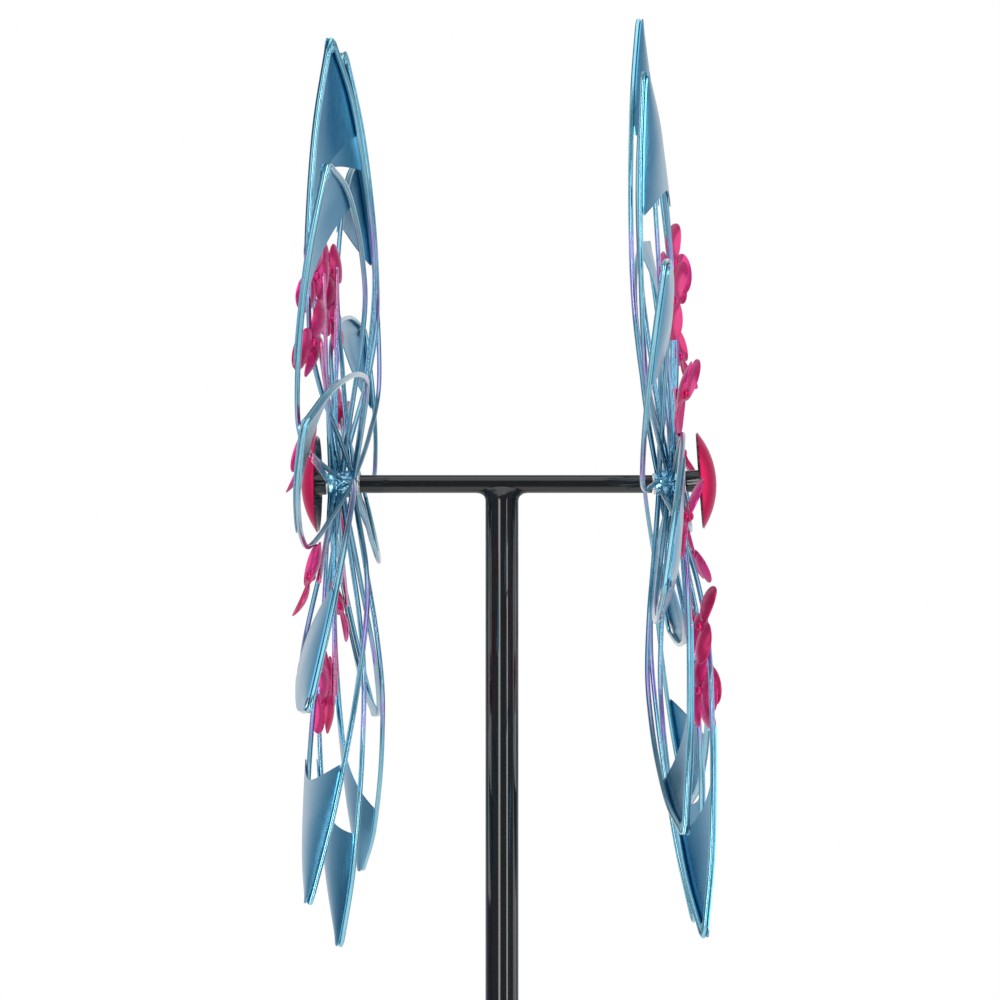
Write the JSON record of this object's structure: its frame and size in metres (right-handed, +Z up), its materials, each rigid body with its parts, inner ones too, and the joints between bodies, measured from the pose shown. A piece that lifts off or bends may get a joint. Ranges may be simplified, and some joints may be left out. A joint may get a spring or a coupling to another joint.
{
  "type": "wind spinner",
  "caption": "Garden wind spinner: flower and leaf rotors of bent wire at both ends of a crossbar on a tall ground-spiked pole.",
  "frame": {"origin": "on the pole's axis, at the underside of the step plate, which is ground level", "axes": "+Z up the pole, +X along the crossbar towards the right rotor, -Y towards the viewer"},
  "size_m": [0.2833, 0.602, 1.906],
  "materials": {
    "black_enamel": "gloss black powder coat",
    "bare_steel": "zinc-plated steel",
    "ground_steel": "black paint worn at the points",
    "leaf_wire": "glossy metallic teal over bright steel, shading to violet round the flowers",
    "stem_wire": "glossy metallic teal fading to magenta",
    "hub_bright": "bright metallic pale blue",
    "vane_sheet": "satin metallic steel blue",
    "petal": "glossy magenta",
    "dome": "glossy crimson-magenta outside, black inside",
    "bush": "self-lubricating nylon"
  },
  "bodies": {
    "stand": {"coupler_screws": "bare_steel", "crossbar": "black_enamel", "ground_forks": "ground_steel", "ground_spike": "ground_steel", "left_dome": "dome", "left_end_cap": "black_enamel", "left_stub_axle": "bare_steel", "left_washers": "bare_steel", "lower_coupler": "black_enamel", "lower_pole": "black_enamel", "middle_pole": "black_enamel", "pole_socket": "black_enamel", "right_dome": "dome", "right_end_cap": "black_enamel", "right_stub_axle": "bare_steel", "right_washers": "bare_steel", "step_plate": "black_enamel", "tee_weld": "black_enamel", "thumb_bolt": "black_enamel", "upper_coupler": "black_enamel", "upper_pole": "black_enamel"},
    "left_rotor": {"left_back_leaf_1": "leaf_wire", "left_back_leaf_2": "leaf_wire", "left_back_leaf_3": "leaf_wire", "left_back_leaf_4": "leaf_wire", "left_back_leaf_5": "leaf_wire", "left_back_leaf_6": "leaf_wire", "left_bushes": "bush", "left_flower_buttons": "petal", "left_flower_petals": "petal", "left_flower_stems": "stem_wire", "left_front_leaf_1": "leaf_wire", "left_front_leaf_2": "leaf_wire", "left_front_leaf_3": "leaf_wire", "left_front_leaf_4": "leaf_wire", "left_front_leaf_5": "leaf_wire", "left_front_leaf_6": "leaf_wire", "left_front_ring": "hub_bright", "left_hub_ring": "leaf_wire", "left_vanes": "vane_sheet"},
    "right_rotor": {"right_back_leaf_1": "leaf_wire", "right_back_leaf_2": "leaf_wire", "right_back_leaf_3": "leaf_wire", "right_back_leaf_4": "leaf_wire", "right_back_leaf_5": "leaf_wire", "right_back_leaf_6": "leaf_wire", "right_bushes": "bush", "right_flower_buttons": "petal", "right_flower_petals": "petal", "right_flower_stems": "stem_wire", "right_front_leaf_1": "leaf_wire", "right_front_leaf_2": "leaf_wire", "right_front_leaf_3": "leaf_wire", "right_front_leaf_4": "leaf_wire", "right_front_leaf_5": "leaf_wire", "right_front_leaf_6": "leaf_wire", "right_front_ring": "hub_bright", "right_hub_ring": "leaf_wire", "right_vanes": "vane_sheet"}
  },
  "joints": [
    {"name": "left_rotor_spin", "type": "hinge", "parent": "stand", "child": "left_rotor", "pos_m": [-0.1056, 0, 1.4], "axis": [-1, 0, 0], "continuous": true},
    {"name": "right_rotor_spin", "type": "hinge", "parent": "stand", "child": "right_rotor", "pos_m": [0.11094, -0.00091, 1.40082], "axis": [0.9943, -0.0795, 0.0716], "continuous": true}
  ]
}
